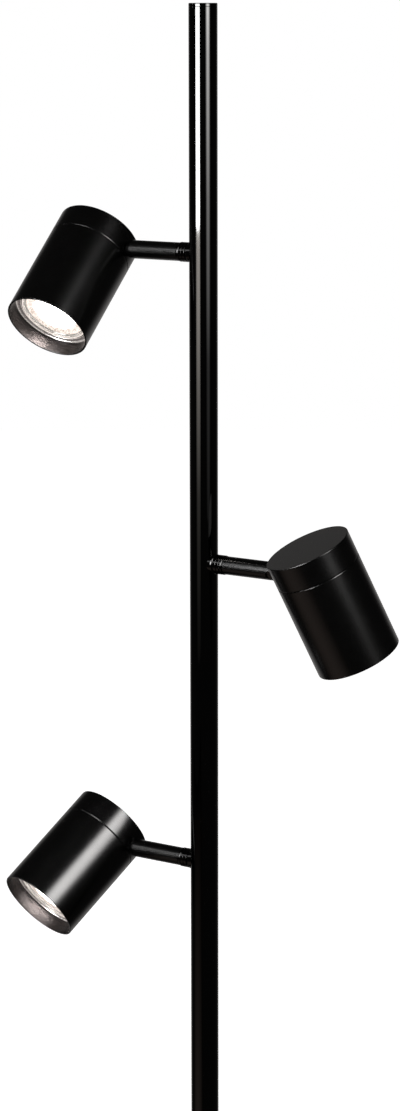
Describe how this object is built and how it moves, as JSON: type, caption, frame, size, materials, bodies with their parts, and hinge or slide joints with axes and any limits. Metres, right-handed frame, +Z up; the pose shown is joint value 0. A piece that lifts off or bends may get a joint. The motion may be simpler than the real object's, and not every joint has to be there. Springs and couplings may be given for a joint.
{
  "type": "floor lamp",
  "caption": "Slim floor lamp with cylindrical spots that swivel and tilt on short arms of one upright pole over a round weighted base.",
  "frame": {"origin": "on the floor at the axis of the pole, in the middle of the face that the base rests on", "axes": "+Z up along the pole; the arms lie along X, the top and bottom ones towards -X and the middle one towards +X"},
  "size_m": [0.2866, 0.2516, 1.55],
  "materials": {
    "black_metal": "satin black lacquer",
    "cast_weight": "rough cast",
    "zinc_steel": "zinc plated",
    "foot_rubber": "matte foam rubber",
    "black_plastic": "matte",
    "cable_sheath": "smooth sheath",
    "ceramic": "unglazed ceramic",
    "bulb_glass": "faceted reflector glass",
    "bulb_lens_glass": "clear moulded front glass",
    "bright_ring": "polished"
  },
  "bodies": {
    "stand": {"base_pad": "foot_rubber", "base_weight": "cast_weight", "base_cover": "black_metal", "base_stem": "zinc_steel", "base_washer": "zinc_steel", "base_nut": "zinc_steel", "cord_inlet": "black_plastic", "foot_collar": "black_metal", "foot_plug": "zinc_steel", "pole_lower": "black_metal", "pole_joiner": "zinc_steel", "pole_upper": "black_metal", "pole_cap": "black_metal", "pole_cable": "cable_sheath", "arm_anchors": "zinc_steel", "arm_saddles": "black_metal", "swivel_bases": "black_metal", "arm_nipples": "zinc_steel", "friction_washers": "black_plastic", "wave_washers": "zinc_steel", "lock_nuts": "zinc_steel"},
    "arm_top": {"arm_ferrule_top": "black_metal", "arm_tube_top": "black_metal", "arm_fork_top": "black_metal", "tilt_pin_top": "black_metal"},
    "head_top": {"head_body_top": "black_metal", "head_cap_top": "black_metal", "head_tongue_top": "black_metal", "stud_nut_top": "zinc_steel", "lamp_holder_top": "ceramic", "holder_bracket_top": "zinc_steel", "bulb_top": "bulb_glass", "bulb_lens_top": "bulb_lens_glass", "bulb_ring_top": "bright_ring"},
    "arm_middle": {"arm_ferrule_middle": "black_metal", "arm_tube_middle": "black_metal", "arm_fork_middle": "black_metal", "tilt_pin_middle": "black_metal"},
    "head_middle": {"head_body_middle": "black_metal", "head_cap_middle": "black_metal", "head_tongue_middle": "black_metal", "stud_nut_middle": "zinc_steel", "lamp_holder_middle": "ceramic", "holder_bracket_middle": "zinc_steel", "bulb_middle": "bulb_glass", "bulb_lens_middle": "bulb_lens_glass", "bulb_ring_middle": "bright_ring"},
    "arm_bottom": {"arm_ferrule_bottom": "black_metal", "arm_tube_bottom": "black_metal", "arm_fork_bottom": "black_metal", "tilt_pin_bottom": "black_metal"},
    "head_bottom": {"head_body_bottom": "black_metal", "head_cap_bottom": "black_metal", "head_tongue_bottom": "black_metal", "stud_nut_bottom": "zinc_steel", "lamp_holder_bottom": "ceramic", "holder_bracket_bottom": "zinc_steel", "bulb_bottom": "bulb_glass", "bulb_lens_bottom": "bulb_lens_glass", "bulb_ring_bottom": "bright_ring"}
  },
  "joints": [
    {"name": "swivel_top", "type": "hinge", "parent": "stand", "child": "arm_top", "pos_m": [0, 0, 1.379], "axis": [-1, 0, 0], "range_deg": [-221, 129]},
    {"name": "tilt_top", "type": "hinge", "parent": "arm_top", "child": "head_top", "pos_m": [-0.0595, 0, 1.379], "axis": [0, 0.6947, -0.7193], "range_deg": [-29.4, 90.6]},
    {"name": "swivel_middle", "type": "hinge", "parent": "stand", "child": "arm_middle", "pos_m": [0, 0, 1.16], "axis": [1, 0, 0], "range_deg": [-195.5, 154.5]},
    {"name": "tilt_middle", "type": "hinge", "parent": "arm_middle", "child": "head_middle", "pos_m": [0.0595, 0, 1.16], "axis": [0, -0.9367, -0.3502], "range_deg": [-45.8, 74.2]},
    {"name": "swivel_bottom", "type": "hinge", "parent": "stand", "child": "arm_bottom", "pos_m": [0, 0, 0.941], "axis": [-1, 0, 0], "range_deg": [-227.8, 122.2]},
    {"name": "tilt_bottom", "type": "hinge", "parent": "arm_bottom", "child": "head_bottom", "pos_m": [-0.0595, 0, 0.941], "axis": [0, 0.6046, -0.7965], "range_deg": [-41.9, 78.1]}
  ]
}
